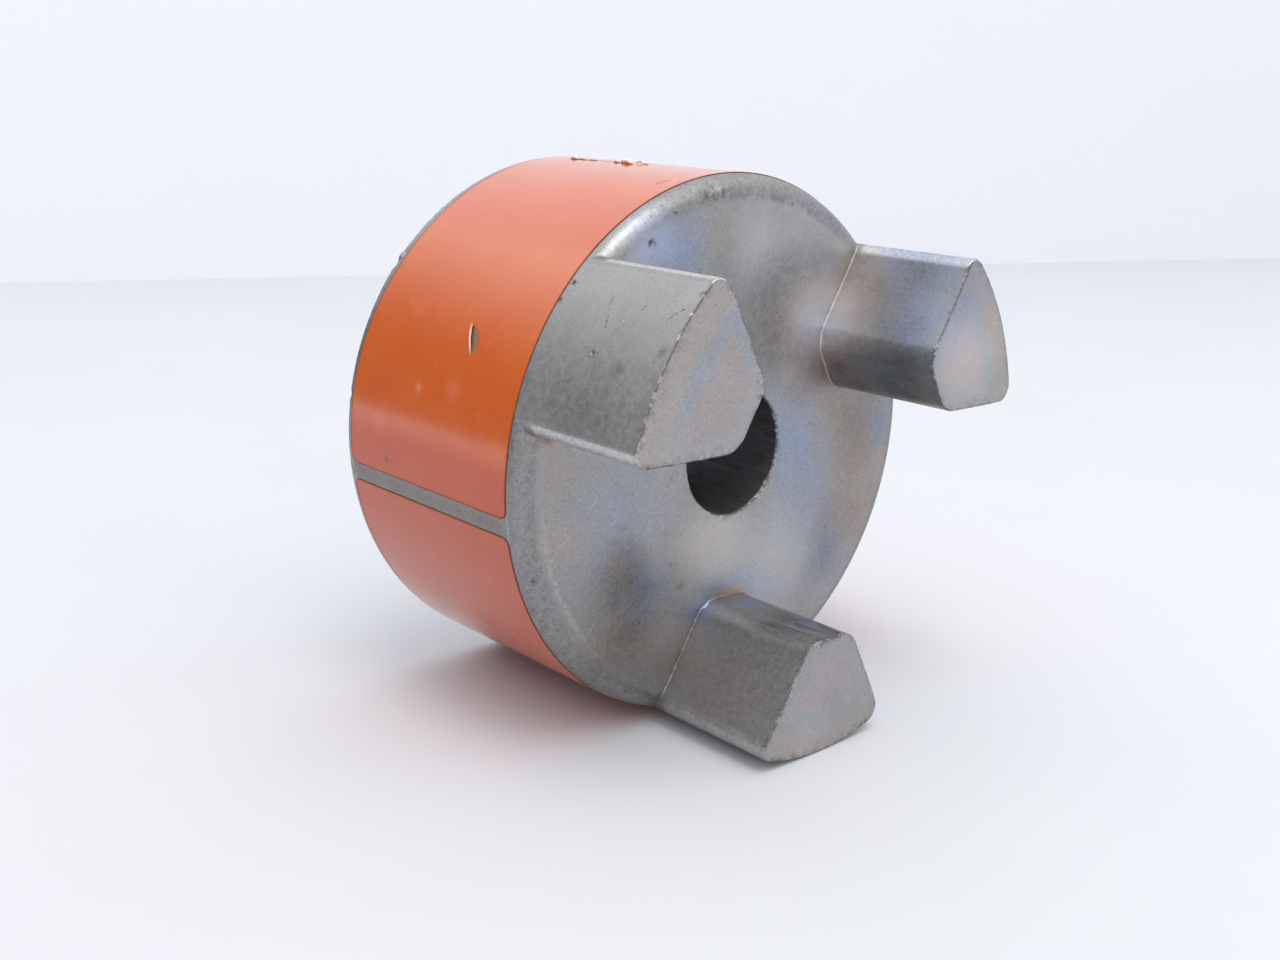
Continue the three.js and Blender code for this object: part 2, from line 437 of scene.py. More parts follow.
def build_wrap():
    arc_start = math.radians(SEAM_AFTER) * OUTER_RADIUS
    arc_end = math.radians(SEAM_BEFORE) * OUTER_RADIUS
    slit_arc = math.radians(SLIT_ANGLE + 360) * OUTER_RADIUS
    arcs = stops(arc_start, arc_end, ARC_STEP, slit_arc, ARC_FINE_HALF, ARC_FINE_STEP)
    arcs = np.unique(np.concatenate([arc_start + SEAM_STEPS, arcs[2:-2], arc_end - SEAM_STEPS]))
    rows = stops(WRAP_LOW.y, WRAP_HIGH.y, ROW_STEP, SCREW_Y, ROW_FINE_HALF, ROW_FINE_STEP)
    middle = int(np.argmin(np.abs(rows - SCREW_Y)))

    places, index = [], {}
    shades = {"edge_distance": [], "flap": [], "lip": []}
    for i, arc_mm in enumerate(arcs):
        from_end = min(arc_mm - arc_start, arc_end - arc_mm)
        trim = corner_trim(from_end)
        short_away = (math.degrees(arc_mm / OUTER_RADIUS) - 360 - SHORT_ANGLE) / SHORT_REACH
        short = SHORT_BY * math.exp(-short_away ** 2)
        along = arc_mm - slit_arc
        for j, y in enumerate(rows):
            share = (y - rows[0]) / (rows[-1] - rows[0])
            trimmed = y + trim * (1 - 2 * share) - short * share ** 3
            cut = j == middle and abs(along) < SLIT_HALF_LENGTH
            for side in (-1, 1) if cut else ((-1,) if j < middle else (1,)):
                shift, height, flap, lip = slit_shape(along, abs(y - SCREW_Y), side)
                index[i, j, side] = len(places)
                places.append(sheet_point(arc_mm, trimmed + shift, height))
                shades["edge_distance"].append(min(from_end, y - rows[0], rows[-1] - y))
                shades["flap"].append(flap)
                shades["lip"].append(lip)

    def corner(i, j, side):
        return index.get((i, j, side), index.get((i, j, -side)))

    faces = []
    for i in range(len(arcs) - 1):
        for j in range(len(rows) - 1):
            side = -1 if j < middle else 1
            faces.append((corner(i, j, side), corner(i, j + 1, side),
                          corner(i + 1, j + 1, side), corner(i + 1, j, side)))
    mesh = bpy.data.meshes.new("wrap")
    mesh.from_pydata(places, [], faces)
    for name, values in shades.items():
        store(mesh, name, values)
    piece = link(mesh, "label_wrap_film")
    solidify = piece.modifiers.new("thickness", "SOLIDIFY")
    solidify.thickness = WRAP_THICKNESS * MM
    solidify.offset = -1 if mesh.polygons[0].normal.dot(Vector(places[0])) < 0 else 1
    apply_modifiers(piece)
    piece.data.shade_smooth()
    piece.data.set_sharp_from_angle(angle=SHARP_ANGLE)
    return piece


# Where the film on top is scraped up: (arc angle, y, length along the bore, height of the curl)
TEAR_CURLS = [
    (94.6, 25.4, 1.8, 0.45),
    (94.2, 23.6, 2.6, 0.22),
    (93.9, 21.4, 2.4, 0.14),
    (93.6, 18.6, 3.0, 0.06),
    (93.9, 15.6, 1.6, 0.3),
    (93.3, 14.4, 1.4, 0.65),
    (94.3, 12.6, 2.2, 0.6),
    (93.2, 11.2, 1.6, 0.4),
    (92.8, 9.9, 1.0, 0.2),
]
CURL_SEED = 5
CURL_COLUMN = 0.22
CURL_LEAST_COLUMNS = 5
CURL_ROWS = 6
CURL_BEND = math.radians(150)
CURL_THICKNESS = 0.06
# The height at a curl's ends, how blunt its swell is, how ragged its edge, and how it leans over.
CURL_END_HEIGHT = 0.25
CURL_BLUNTNESS = 0.6
CURL_RAGGED = (0.7, 1.25)
CURL_OVERHANG = 0.8
CURL_JITTER = 0.1


def build_curls():
    """Ragged curls of scraped film, standing up from the wrap."""
    draw = random.Random(CURL_SEED)
    mesh = bmesh.new()
    for angle, y, length, height in TEAR_CURLS:
        columns = max(CURL_LEAST_COLUMNS, round(length / CURL_COLUMN))
        arc_mm = math.radians(angle) * OUTER_RADIUS
        lean = draw.choice((-1, 1))
        strip = []
        for i in range(columns + 1):
            share = i / columns
            swell = math.sin(math.pi * share) ** CURL_BLUNTNESS
            reach = height * (CURL_END_HEIGHT + swell * draw.uniform(*CURL_RAGGED))
            row = []
            for j in range(CURL_ROWS):
                bend = j / (CURL_ROWS - 1) * CURL_BEND
                across = lean * reach * math.sin(bend) * CURL_OVERHANG
                up = WRAP_THICKNESS + reach * (1 - math.cos(bend)) / 2
                jitter = draw.uniform(-CURL_JITTER, CURL_JITTER)
                place = sheet_point(arc_mm + across + jitter, y + (share - 0.5) * length + jitter, up)
                row.append(mesh.verts.new(place))
            strip.append(row)
        for near, far in zip(strip, strip[1:]):
            for j in range(CURL_ROWS - 1):
                mesh.faces.new((near[j], near[j + 1], far[j + 1], far[j]))
    data = bpy.data.meshes.new("curls")
    mesh.to_mesh(data)
    mesh.free()
    piece = link(data, "label_scraped_curls")
    solidify = piece.modifiers.new("thickness", "SOLIDIFY")
    solidify.thickness = CURL_THICKNESS * MM
    solidify.offset = 0
    apply_modifiers(piece)
    piece.data.shade_smooth()
    return piece


# ------------------------------ the set screw

SCREW_LENGTH = 12.7
SCREW_POINT_RADIUS = 13.3
THREAD_PITCH = 1.5875
THREAD_DEPTH = 0.85
THREAD_FLAT = 1.25
THREAD_SLOPE = 2.9
THREAD_CREST = SCREW_RADIUS - 0.02
THREAD_STEPS = 12
SOCKET_RADIUS = 2.75
SOCKET_DEPTH = 5.5
SOCKET_CONE = 0.8
SOCKET_FLOOR_RADIUS = 0.3 * SOCKET_RADIUS
CUP_RADIUS = 2.2
CUP_DEPTH = 1.0
CUP_FLOOR_RADIUS = 0.25 * CUP_RADIUS
CUP_EDGE = 0.1
CUP_EDGE_DEPTH = 0.12
SCREW_CHAMFER = 1.0
CHAMFER_SLOPE = 1.1
SOCKET_CHAMFER = 0.25
SCREW_SIDES = 48


def thread_radius(turn, along):
    """A rounded 60 degree thread that runs out into a chamfer at each end."""
    phase = (along / THREAD_PITCH - turn / (2 * math.pi)) % 1
    ridge = min(1.0, max(0.0, THREAD_FLAT - abs(phase - 0.5) * THREAD_SLOPE))
    from_end = min(along, SCREW_LENGTH - along)
    chamfer = SCREW_RADIUS - SCREW_CHAMFER + from_end * CHAMFER_SLOPE
    return min(THREAD_CREST - THREAD_DEPTH * (1 - ridge), chamfer)


def hexagon_radius(turn):
    """The radius of a hexagon's outline in a direction."""
    side = math.pi / 3
    return SOCKET_RADIUS * math.cos(side / 2) / math.cos((turn % side) - side / 2)


def build_set_screw():
    turns = [2 * math.pi * i / SCREW_SIDES for i in range(SCREW_SIDES)]
    steps = round(SCREW_LENGTH / (THREAD_PITCH / THREAD_STEPS))
    cup = [(CUP_FLOOR_RADIUS, CUP_DEPTH), (CUP_RADIUS - CUP_EDGE, CUP_EDGE_DEPTH),
           (CUP_RADIUS + CUP_EDGE, 0.0)]
    loops = [[place] * SCREW_SIDES for place in cup]
    for k in range(steps + 1):
        along = SCREW_LENGTH * k / steps
        loops.append([(thread_radius(turn, along), along) for turn in turns])
    rim = SCREW_LENGTH
    loops.append([(hexagon_radius(turn) + SOCKET_CHAMFER, rim) for turn in turns])
    loops.append([(hexagon_radius(turn), rim - SOCKET_CHAMFER) for turn in turns])
    loops.append([(hexagon_radius(turn), rim - SOCKET_DEPTH) for turn in turns])
    loops.append([(SOCKET_FLOOR_RADIUS, rim - SOCKET_DEPTH - SOCKET_CONE)] * SCREW_SIDES)

    outward = Vector((math.cos(SCREW_ANGLE), 0, math.sin(SCREW_ANGLE)))
    along_bore = Vector((0, 1, 0))
    round_rim = outward.cross(along_bore)
    mesh = bmesh.new()
    rings = []
    for loop in loops:
        ring = []
        for (radius, along), turn in zip(loop, turns):
            place = outward * (SCREW_POINT_RADIUS + along) + along_bore * SCREW_Y
            place += (round_rim * math.cos(turn) + along_bore * math.sin(turn)) * radius
            ring.append(mesh.verts.new(place * MM))
        rings.append(ring)
    for low, high in zip(rings, rings[1:]):
        for i in range(SCREW_SIDES):
            j = (i + 1) % SCREW_SIDES
            mesh.faces.new((low[i], high[i], high[j], low[j]))
    for ring in (rings[0], rings[-1]):
        mesh.faces.new(ring)
    bmesh.ops.recalc_face_normals(mesh, faces=mesh.faces)
    data = bpy.data.meshes.new("set_screw")
    mesh.to_mesh(data)
    mesh.free()
    piece = link(data, "set_screw_threaded")
    piece.data.shade_smooth()
    piece.data.set_sharp_from_angle(angle=SHARP_ANGLE)
    return piece


# ------------------------------ material helpers

NOISE_ROUGHNESS = 0.55
SCRATCH_CORE = 0.3


class Nodes:
    """A node tree, with short calls for the nodes used here."""

    def __init__(self, tree):
        self.tree = tree
        tree.nodes.clear()

    def add(self, kind, inputs=None, **settings):
        node = self.tree.nodes.new(kind)
        for key, value in settings.items():
            setattr(node, key, value)
        for key, value in (inputs or {}).items():
            self.feed(node.inputs[key], value)
        return node

    def feed(self, socket, value):
        if isinstance(value, bpy.types.NodeSocket):
            self.tree.links.new(value, socket)
        else:
            socket.default_value = value

    def math(self, operation, a, b=0.0, clamp=False):
        node = self.add("ShaderNodeMath", {0: a, 1: b}, operation=operation, use_clamp=clamp)
        return node.outputs[0]

    def total(self, values):
        result = values[0]
        for value in values[1:]:
            result = self.math("ADD", result, value)
        return result

    def product(self, *values):
        result = values[0]
        for value in values[1:]:
            result = self.math("MULTIPLY", result, value)
        return result

    def inverse(self, share):
        return self.math("SUBTRACT", 1.0, share)

    def measure(self, operation, a, b):
        node = self.add("ShaderNodeVectorMath", {0: a, 1: b}, operation=operation)
        return node.outputs["Value"]

    def span(self, value, low, high, to_low=0.0, to_high=1.0):
        """Smoothly maps low..high to to_low..to_high, held flat outside."""
        inputs = {"Value": value, "From Min": low, "From Max": high, "To Min": to_low, "To Max": to_high}
        return self.add("ShaderNodeMapRange", inputs, interpolation_type="SMOOTHSTEP").outputs[0]

    def tint(self, colour, factor, other, blend="MULTIPLY"):
        node = self.add("ShaderNodeMix", data_type="RGBA", blend_type=blend, clamp_factor=True)
        self.feed(node.inputs[0], factor)
        self.feed(node.inputs[6], colour)
        self.feed(node.inputs[7], other if isinstance(other, bpy.types.NodeSocket) else (*other, 1))
        return node.outputs[2]

    def mix(self, colour, factor, other):
        return self.tint(colour, factor, other, "MIX")


class Shader(Nodes):
    """One material's nodes, with the places and patterns that it is made from."""

    def __init__(self, name):
        self.material = bpy.data.materials.new(name)
        self.material.use_nodes = True
        super().__init__(self.material.node_tree)
        self.place = self.scale(self.add("ShaderNodeTexCoord").outputs["Object"], 1 / MM)
        split = self.add("ShaderNodeSeparateXYZ", {0: self.place})
        self.x, self.y, self.z = split.outputs
        squares = self.math("ADD", self.product(self.x, self.x), self.product(self.z, self.z))
        self.radius = self.math("SQRT", squares)
        self.turn = self.product(self.math("ARCTAN2", self.z, self.x), 180 / math.pi)

    def vector(self, operation, a, b):
        return self.add("ShaderNodeVectorMath", {0: a, 1: b}, operation=operation).outputs[0]

    def stretched(self, x, y, z):
        """The place, drawn out along the axes."""
        return self.vector("MULTIPLY", self.place, (1 / x, 1 / y, 1 / z))

    def near(self, value, middle, reach):
        """1 where a value is at the middle, falling to 0 at the reach."""
        return self.span(self.math("ABSOLUTE", self.math("SUBTRACT", value, middle)), reach, 0.0)

    def scale(self, vector, factor):
        inputs = {0: vector, "Scale": factor}
        return self.add("ShaderNodeVectorMath", inputs, operation="SCALE").outputs[0]

    def noise(self, size_mm, detail, place=None):
        inputs = {"Vector": place or self.place, "Scale": 1 / size_mm, "Detail": detail,
                  "Roughness": NOISE_ROUGHNESS}
        return self.add("ShaderNodeTexNoise", inputs).outputs["Fac"]

    def warped(self, size_mm, reach_mm):
        """The place, pushed about by a soft noise."""
        inputs = {"Vector": self.place, "Scale": 1 / size_mm, "Detail": 2.0}
        noise = self.add("ShaderNodeTexNoise", inputs)
        offset = self.vector("SUBTRACT", noise.outputs["Color"], (0.5, 0.5, 0.5))
        return self.vector("ADD", self.place, self.scale(offset, 2 * reach_mm))

    def spot(self, place, centre, size_mm, strength):
        """A soft round patch about a point."""
        away = self.measure("DISTANCE", place, tuple(centre))
        return self.span(away, size_mm, 0.0, 0.0, strength)

    def spots(self, place, patches):
        """The sum of soft patches given as (x, y, z, size, strength)."""
        return self.total([self.spot(place, centre, size, strength)
                           for *centre, size, strength in patches])

    def scratch(self, place, start, end, width):
        """A thin straight mark between two points."""
        run = Vector(end) - Vector(start)
        from_start = self.vector("SUBTRACT", place, tuple(start))
        along = self.measure("DOT_PRODUCT", from_start, tuple(run))
        share = self.math("DIVIDE", along, run.length_squared, clamp=True)
        nearest = self.scale(self.add("ShaderNodeCombineXYZ", dict(enumerate(run))).outputs[0], share)
        away = self.measure("DISTANCE", from_start, nearest)
        return self.span(away, width, width * SCRATCH_CORE)

    def scratches(self, place, marks, width):
        return self.total([self.scratch(place, start, end, width) for start, end in marks])

    def specks(self, spacing_mm, size_mm, share, seed=0.0):
        """Small sharp specks, about one to a cell, in that share of the cells."""
        shifted = self.vector("ADD", self.place, (seed, seed, seed))
        cells = self.add("ShaderNodeTexVoronoi", {"Vector": shifted, "Scale": 1 / spacing_mm})
        chosen = self.add("ShaderNodeSeparateColor", {0: cells.outputs["Color"]})
        big = self.product(chosen.outputs[1], size_mm / spacing_mm)
        near = self.math("LESS_THAN", cells.outputs["Distance"], big)
        return self.product(near, self.math("LESS_THAN", chosen.outputs[0], share))

    def grey(self, value):
        return self.add("ShaderNodeCombineColor", {0: value, 1: value, 2: value}).outputs[0]

    def attribute(self, name):
        return self.add("ShaderNodeAttribute", attribute_name=name).outputs["Fac"]

    def bump(self, height, depth_mm):
        inputs = {"Height": height, "Distance": depth_mm * MM, "Strength": 1.0}
        return self.add("ShaderNodeBump", inputs).outputs[0]

    def finish(self, colour, roughness, metallic, normal, **extra):
        surface = self.add("ShaderNodeBsdfPrincipled", {"Base Color": colour, "Roughness": roughness,
                                                        "Metallic": metallic, "Normal": normal, **extra})
        self.add("ShaderNodeOutputMaterial", {"Surface": surface.outputs[0]})
        return self.material


# ------------------------------ sintered iron

IRON_GREY = 0.345
BLUE_TINT = (0.80, 0.96, 1.3)
TAN_TINT = (1.16, 0.99, 0.9)
PINK_TINT = (1.06, 0.975, 0.965)
PORE_AND_PIT_SHADE_TINT = (0.35, 0.32, 0.32)
DIRT_AND_SHADE_TINT = (0.5, 0.44, 0.41)
EDGE_DIRT_TINT = (0.38, 0.32, 0.29)
BRIGHT_METAL = (0.68, 0.67, 0.68)
SEAM_TINT = (0.86, 0.78, 0.72)
COPPER = (0.46, 0.36, 0.30)
LUMP_COLOUR = (0.62, 0.52, 0.48)
PAINTED_HIGHLIGHT_TINT = (1.45, 1.38, 1.3)
BORE_DARK = (0.205, 0.2, 0.22)
BORE_STREAK = (0.3, 0.295, 0.295)
BORE_RUST = (0.17, 0.10, 0.075)


def on_face(patches):
    """Patches on the front face, given as (x, z, size, strength)."""
    return [(x, FACE_Y, z, size, strength) for x, z, size, strength in patches]


def on_outside(patches):
    """Patches on the outer surface, given as (angle, distance behind the face, size, strength)."""
    return [(*degrees_point(angle, OUTER_RADIUS, FACE_Y + behind), size, strength)
            for angle, behind, size, strength in patches]


BLUE_PATCHES = on_face([
    (-15, 31, 9, 0.9),
    (-20, 33, 7, 0.5),
    (13, 3, 10, 0.6),
    (16, -3, 10, 0.6),
    (16, 18, 9, 0.4),
    (19, 27, 6, 0.3),
    (37, -1, 6, 0.9),
    (23, -21, 7, 0.65),
    (18, -12, 12, 0.4),
    (-24, -6, 12, 0.4),
    (-18, -19, 8, 0.6),
    (-6, -24, 3.5, 0.45),
    (-3, -21.6, 3.5, 0.7),
    (2, -21, 3.5, 0.7),
    (6, -22.4, 3.5, 0.7),
    (10, -25, 5, 0.4),
]) + [
    (27, FACE_Y - 14, 26, 12, 0.7),
    (24, FACE_Y - 19, 22, 9, 0.6),
    (30, FACE_Y - 20, 33, 9, 0.5),
    (16, FACE_Y - 12, 10, 9, 0.5),
    (29, FACE_Y - 8, 31, 9, 0.6),
    (20, FACE_Y - 17, 19, 7, 0.6),
    (0, END_Y, -32, 11, 0.15),
    (-5, FACE_Y - 2, -25, 5, 0.5),
    (2, FACE_Y - 5, -24, 6, 0.6),
    (2, FACE_Y - 16, -24, 6, 0.8),
]
TAN_PATCHES = on_face([
    (-6, 34, 5, 0.5),
    (17, 29, 11, 0.15),
    (9, 20, 10, 0.6),
    (18, 10, 8, 0.9),
    (26, 3, 8, 1.0),
    (32, -4, 7, 1.0),
    (31, -16, 10, 0.7),
    (33, -8, 15, 0.6),
    (-5, -14, 12, 0.45),
    (-35, 1, 5, 0.9),
    (-34, -8, 6, 0.9),
    (-23, -15, 5, 1.0),
    (-20, -27, 10, 0.7),
    (-10, -31, 7, 0.7),
    (-27, -24, 8, 0.6),
    (12, -31, 12, 0.3),
    (22, 15, 22, 0.25),
]) + [
    (25, FACE_Y - 3, 25, 8, 1.0),
    (24, FACE_Y - 7, 20, 6, 0.5),
    (14, FACE_Y - 5, 14, 9, 0.6),
    (-12, FACE_Y - 12, -32, 14, 0.5),
    (0, FACE_Y - 12, -24, 4, 0.9),
    (0, FACE_Y - 19, -24, 4, 0.8),
    (-38, FACE_Y, 7, 5, 1.0),
    (21, FACE_Y - 8, 11, 4, 0.9),
    (22, FACE_Y - 17, 10, 4, 0.9),
]
# Lighter and darker places added to the metal's shade: partly uneven tone, partly painted light and painted shade
# standing in for reflections and shadows.
TONE_AND_LIGHT_PATCHES = on_face([
    (3, 32, 9, 0.45),
    (-20, 33, 8, 0.3),
    (12, 33, 8, 0.3),
    (17, 18, 12, 0.62),
    (15, 16, 8, 0.3),
    (13, 25, 8, 0.35),
    (20, 27, 10, 0.4),
    (30, 1, 13, -0.28),
    (29, -13, 14, -0.16),
    (24, -21, 8, -0.2),
    (-13, -25, 9, 0.2),
    (0, -22, 5, -0.15),
    (-22, -15, 8, -0.38),
    (-19, -20, 9, -0.2),
    (-23, -27, 9, -0.28),
    (-27, -20, 8, -0.12),
    (-2, -15, 12, 0.35),
    (12, -19, 12, 0.3),
]) + [
    (18, FACE_Y - 4, 11, 10, -0.45),
    (18, FACE_Y - 16, 9, 10, -0.5),
    (20, FACE_Y - 16, 18, 8, -0.2),
    (0, FACE_Y - 13, -24, 5, -0.3),
    (27, FACE_Y - 13, 27, 15, -0.4),
    (28, END_Y, 17, 14, 0.35),
    (-6, END_Y, -39, 8, 0.1),
    (-2, END_Y, -40, 7, 0.1),
] + on_outside([(163, -10, 10, -0.15)])
STAINS = on_outside([
    (153.3, -13.9, 2.1, 0.6),
    (151.4, -8.2, 0.5, 0.9),
    (148.6, -20.2, 1.3, 0.6),
    (172.5, -0.5, 2.4, 0.8),
    (171.0, -6.0, 1.8, 0.5),
    (136.5, -21.3, 0.8, 0.9),
]) + on_face([
    (-37.3, 7.4, 2.2, 1.0),
    (-9.0, 39.2, 1.6, 0.8),
    (-10.2, -20.0, 1.2, 0.6),
    (-12.5, -16.0, 0.8, 0.5),
]) + [
    (21, FACE_Y - 3, 12, 2.5, 0.5),
    (23, FACE_Y - 12, 12, 3.5, 0.6),
    (22, FACE_Y - 18, 13, 3.0, 0.8),
    (27, FACE_Y - 8, 24, 3.0, 0.4),
]
# Brown grime drawn out along the jaws' flanks; the same places carry painted gleam streaks.
FLANK_GRIME_AND_GLEAM = [
    (0, FACE_Y - 15, -25, 8, 1.0),
    (6, FACE_Y - 19, -26, 7, 0.8),
    (-5, FACE_Y - 20, -30, 5, 0.5),
]
# The upper left jaw's end is the one most clearly ringed with blue.
RINGED_END = (-24, END_Y, 24)
COPPER_PLACE = (1.5, FACE_Y - 0.3, -23.2)
# Scratches on the front face, as pairs of (x, z).
FACE_SCRATCHES = [
    ((-34.6, -9.0), (-32.8, -8.0)),
    ((-36.5, -11.6), (-35.0, -9.8)),
    ((-35.8, -12.2), (-34.8, -11.0)),
    ((-28.6, -23.6), (-27.4, -21.9)),
    ((-25.0, -7.6), (-23.3, -6.4)),
    ((-29.2, -4.4), (-27.9, -3.2)),
]
# Dark scratches on the upper left jaw, as pairs of (angle, distance behind the face).
JAW_SCRATCHES = [
    ((140.5, -6.8), (143.4, -7.5)),
    ((144.2, -7.9), (146.5, -8.6)),
    ((140.5, -13.6), (141.8, -13.2)),
    ((139.4, -20.6), (142.8, -18.2)),
]


def iron_material():
    s = Shader("sintered_iron")
    soft = s.warped(7.0, 2.2)
    clouds = s.noise(6.0, 3.0)
    mottle = s.noise(0.9, 2.0)
    grain = s.noise(0.17, 2.0)
    front = s.span(s.y, FACE_Y + 0.35, FACE_Y + 0.1)
    end = s.span(s.y, END_Y + 0.5, END_Y + 0.35)
    jaw_outside = s.product(s.span(s.radius, OUTER_RADIUS - 0.14, OUTER_RADIUS - 0.04),
                            s.span(s.y, FACE_Y + 3.0, FACE_Y + 2.8))
    on_rim = s.product(s.span(s.radius, OUTER_RADIUS - RIM_ROUND, OUTER_RADIUS - 2.3),
                       s.span(s.y, FACE_Y - 0.3, FACE_Y), s.span(s.y, REAR_Y - 1.5, REAR_Y - 2.0),
                       s.inverse(jaw_outside))

    flank = s.product(s.span(s.y, FACE_Y - 0.5, FACE_Y - 1.5), s.inverse(end),
                      s.inverse(jaw_outside))
    jaw_corner = s.product(s.span(s.radius, OUTER_RADIUS - 3.1, OUTER_RADIUS - 2.3), flank)
    drawn = s.noise(0.8, 3.0, place=s.stretched(1, 9, 1))

    # The jaws' outer surfaces and outer corners are painted lighter, the corners more the higher they sit: painted
    # light.
    shade = s.total([s.span(clouds, 0.3, 0.7, -0.04, 0.04), s.span(mottle, 0.25, 0.75, -0.06, 0.06),
                     s.span(grain, 0.25, 0.75, -0.17, 0.17), 1.0, s.spots(soft, TONE_AND_LIGHT_PATCHES),
                     s.product(jaw_outside, 0.14), s.product(on_rim, -0.1),
                     s.product(flank, s.span(drawn, 0.35, 0.65, -0.02, 0.02)),
                     s.product(end, 0.08),
                     s.product(jaw_corner, s.span(s.z, -30, -10, 0.35, 0.85))])
    colour = s.grey(s.product(shade, IRON_GREY))

    # Heat tints, and the tinted rings on the jaws' ends.
    patchy = s.span(s.noise(3.0, 4.0, place=soft), 0.3, 0.62, 0.5, 1.0)
    inset = s.attribute("inset")
    past_ridge = s.attribute("past_ridge")
    ringed = s.total([s.spot(s.place, RINGED_END, 20, 0.6), 0.2])
    ridge = s.product(s.near(past_ridge, -0.8, 1.9), ringed, 0.52)
    border = s.product(s.near(inset, 1.2, 1.7), s.span(past_ridge, 0.2, -1.2), ringed, 0.3)
    middle = s.product(s.span(inset, 1.4, 3.4), s.span(past_ridge, -1.0, -3.0))
    band = s.product(s.span(past_ridge, 0.4, 1.6), 0.5)
    blue = s.total([s.spots(soft, BLUE_PATCHES), s.product(s.total([ridge, border]), end)])
    tan = s.total([s.spots(soft, TAN_PATCHES), s.product(band, end)])
    colour = s.tint(colour, s.product(tan, patchy), TAN_TINT)
    colour = s.tint(colour, s.product(blue, patchy), BLUE_TINT)
    colour = s.tint(colour, s.product(middle, end), PINK_TINT)
    near = s.warped(1.2, 0.5)
    copper = s.product(s.spot(near, COPPER_PLACE, 4.6, 1.3), s.span(s.radius, 22.4, 23.0),
                       s.near(s.y, FACE_Y - 0.3, 0.9))
    colour = s.mix(colour, copper, COPPER)

    # The line where the face meets the rim, and scratches and stains.
    dark_line = s.product(s.near(s.radius, DIP_RADIUS + 0.3, 0.8), s.near(s.turn, 80, 42), front,
                          s.span(s.noise(1.4, 3.0), 0.42, 0.6))
    colour = s.tint(colour, s.product(dark_line, 0.55), DIRT_AND_SHADE_TINT)
    lumps = s.spots(s.place, [(*centre, 1.3 * radius, 1.0) for centre, radius in RIM_LUMPS])
    colour = s.mix(colour, s.product(lumps, 0.8), LUMP_COLOUR)
    # A painted highlight along the rim's inner edge at the lower left.
    rim_highlight_line = s.product(s.near(s.radius, DIP_RADIUS - 0.5, 0.9), s.near(s.turn, -155, 40), front,
                           s.span(s.noise(1.0, 3.0), 0.4, 0.65))
    colour = s.tint(colour, s.product(rim_highlight_line, 0.6), PAINTED_HIGHLIGHT_TINT)
    wavy = s.warped(0.8, 0.25)
    marks = [((x0, FACE_Y, z0), (x1, FACE_Y, z1)) for (x0, z0), (x1, z1) in FACE_SCRATCHES]
    colour = s.mix(colour, s.product(s.scratches(wavy, marks, 0.15), 0.3), BRIGHT_METAL)
    marks = [[degrees_point(angle, OUTER_RADIUS, FACE_Y + behind) for angle, behind in ends]
             for ends in JAW_SCRATCHES]
    dotted = s.product(s.scratches(wavy, marks, 0.2), s.span(s.noise(0.5, 2.0), 0.4, 0.6))
    colour = s.tint(colour, dotted, DIRT_AND_SHADE_TINT)
    stain = s.product(s.spots(near, STAINS), s.span(s.noise(0.7, 3.0), 0.3, 0.5))
    colour = s.tint(colour, stain, DIRT_AND_SHADE_TINT)
    grime = s.product(s.spots(soft, FLANK_GRIME_AND_GLEAM), flank, s.span(drawn, 0.54, 0.42))
    colour = s.tint(colour, grime, DIRT_AND_SHADE_TINT)
    gleam = s.product(s.spots(soft, FLANK_GRIME_AND_GLEAM), flank, s.span(drawn, 0.58, 0.68))
    colour = s.mix(colour, s.product(gleam, 0.4), BRIGHT_METAL)

    # Pores, thickest round the rim and on the jaws' outer corners.
    clustered = s.span(s.noise(5.0, 3.0), 0.45, 0.62, 0.15, 1.0)
    polished = s.product(on_rim, s.near(s.turn, 128, 16))
    rough_place = s.math("SUBTRACT", s.math("ADD", on_rim, jaw_corner), polished, clamp=True)
    many = s.math("MAXIMUM", clustered, rough_place)
    pits = s.product(s.specks(1.7, 0.2, 0.22), many)
    fine_pits = s.product(s.specks(0.62, 0.14, 0.34, seed=40.0), many)
    coarse = s.product(s.span(s.noise(0.42, 3.0), 0.5, 0.68), rough_place)
    # The larger face pits are darkened inside and around: painted shade in these hollows.
    pit_shade = s.spots(s.place, [(*centre, 1.3 * radius, 1.6) for centre, radius in FACE_PITS])
    colour = s.tint(colour, pit_shade, PORE_AND_PIT_SHADE_TINT)
    colour = s.tint(colour, s.product(pits, 0.7), PORE_AND_PIT_SHADE_TINT)
    colour = s.tint(colour, s.product(fine_pits, 0.5), DIRT_AND_SHADE_TINT)
    colour = s.tint(colour, s.product(coarse, 0.4), DIRT_AND_SHADE_TINT)
    glints = s.specks(1.9, 0.12, 0.3, seed=90.0)
    colour = s.mix(colour, s.product(glints, 0.6), BRIGHT_METAL)

    # Edges are bright here and there and dirty elsewhere.
    edge = s.attribute("convex")
    worn = s.product(edge, s.span(s.noise(1.0, 3.0), 0.6, 0.68), 0.6)
    dirty = s.product(edge, s.span(s.noise(0.8, 3.0), 0.62, 0.48))
    colour = s.tint(colour, dirty, EDGE_DIRT_TINT)
    colour = s.mix(colour, worn, BRIGHT_METAL)
    # Inside corners and fillets are darkened, more on the left: painted shade.
    corner = s.product(s.attribute("hollow"), s.span(s.noise(1.1, 3.0), 0.35, 0.6, 0.4, 1.0),
                       s.span(s.x, 14, 8, 0.45, 1.0))
    colour = s.tint(colour, corner, DIRT_AND_SHADE_TINT)
    bare_rear = s.product(s.span(s.y, REAR_Y - 1.2, REAR_Y - 0.9), s.span(s.radius, 41.4, 41.8), 0.15)
    colour = s.mix(colour, bare_rear, BRIGHT_METAL)

